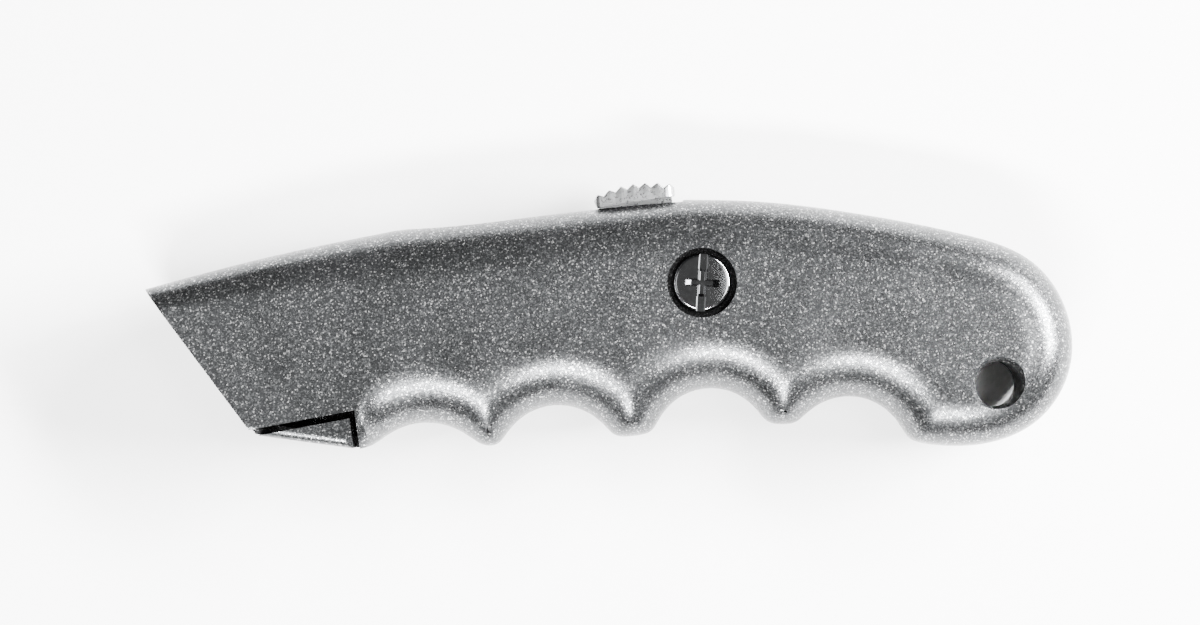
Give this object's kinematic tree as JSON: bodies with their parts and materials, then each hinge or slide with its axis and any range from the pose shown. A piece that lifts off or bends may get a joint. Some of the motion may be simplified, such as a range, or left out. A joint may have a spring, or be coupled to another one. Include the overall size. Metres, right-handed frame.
{
  "type": "utility knife",
  "caption": "Retractable utility knife: split die-cast handle with finger grooves, serrated thumb slide, body screw and lanyard hole; a trapezoid blade slides out of its slanted nose",
  "frame": {"origin": "on the axis of the body screw, on the surface that the knife lies on (its far side face)", "axes": "+X from the nose to the butt along the handle, +Y from the finger grooves to the thumb button, +Z through the thickness, up from the side that the knife lies on"},
  "size_m": [0.1581, 0.0455, 0.021],
  "materials": {
    "handle_coat": "fine sand-textured silver-grey metallic powder coat on a die casting",
    "cast_zinc": "as-cast zinc, dull, lightly greased",
    "cast_button": "die-cast, bright tumbled",
    "screw_plate": "dark nickel plate, turned head",
    "pin_steel": "ground",
    "spring_steel": "hardened and tempered",
    "blade_steel": "ground and lightly oiled"
  },
  "bodies": {
    "case_far": {"far_shell": "handle_coat", "spare_blade_1": "blade_steel", "spare_blade_2": "blade_steel", "spare_blade_3": "blade_steel", "spare_blade_4": "blade_steel", "spare_blade_5": "blade_steel"},
    "case_near": {"near_shell": "handle_coat"},
    "screw": {"body_screw": "screw_plate"},
    "carrier": {"blade_carrier": "cast_zinc", "blade": "blade_steel", "button_pivot_pin": "pin_steel", "button_spring": "spring_steel", "latch_spring": "spring_steel", "latch_rivet": "pin_steel"},
    "button": {"thumb_button": "cast_button"}
  },
  "joints": [
    {"name": "carrier_slide", "type": "slide", "parent": "case_far", "child": "carrier", "axis": [-0.9949, -0.1011, 0], "range_m": [0, 0.033], "deforming": ["latch_spring"]},
    {"name": "button_press", "type": "hinge", "parent": "carrier", "child": "button", "pos_m": [-0.01538, 0.00789, 0.0105], "axis": [0, 0, -1], "range_deg": [0, 3.5], "stiffness_Nm_per_rad": 0.5, "springref_deg": -5.73, "deforming": ["button_spring"]},
    {"name": "case_open", "type": "slide", "parent": "case_far", "child": "case_near", "axis": [0, 0, 1], "range_m": [0, 0.04]},
    {"name": "screw_turn", "type": "hinge", "parent": "case_near", "child": "screw", "pos_m": [0, 0, 0.0105], "axis": [0, 0, 1], "continuous": true}
  ]
}
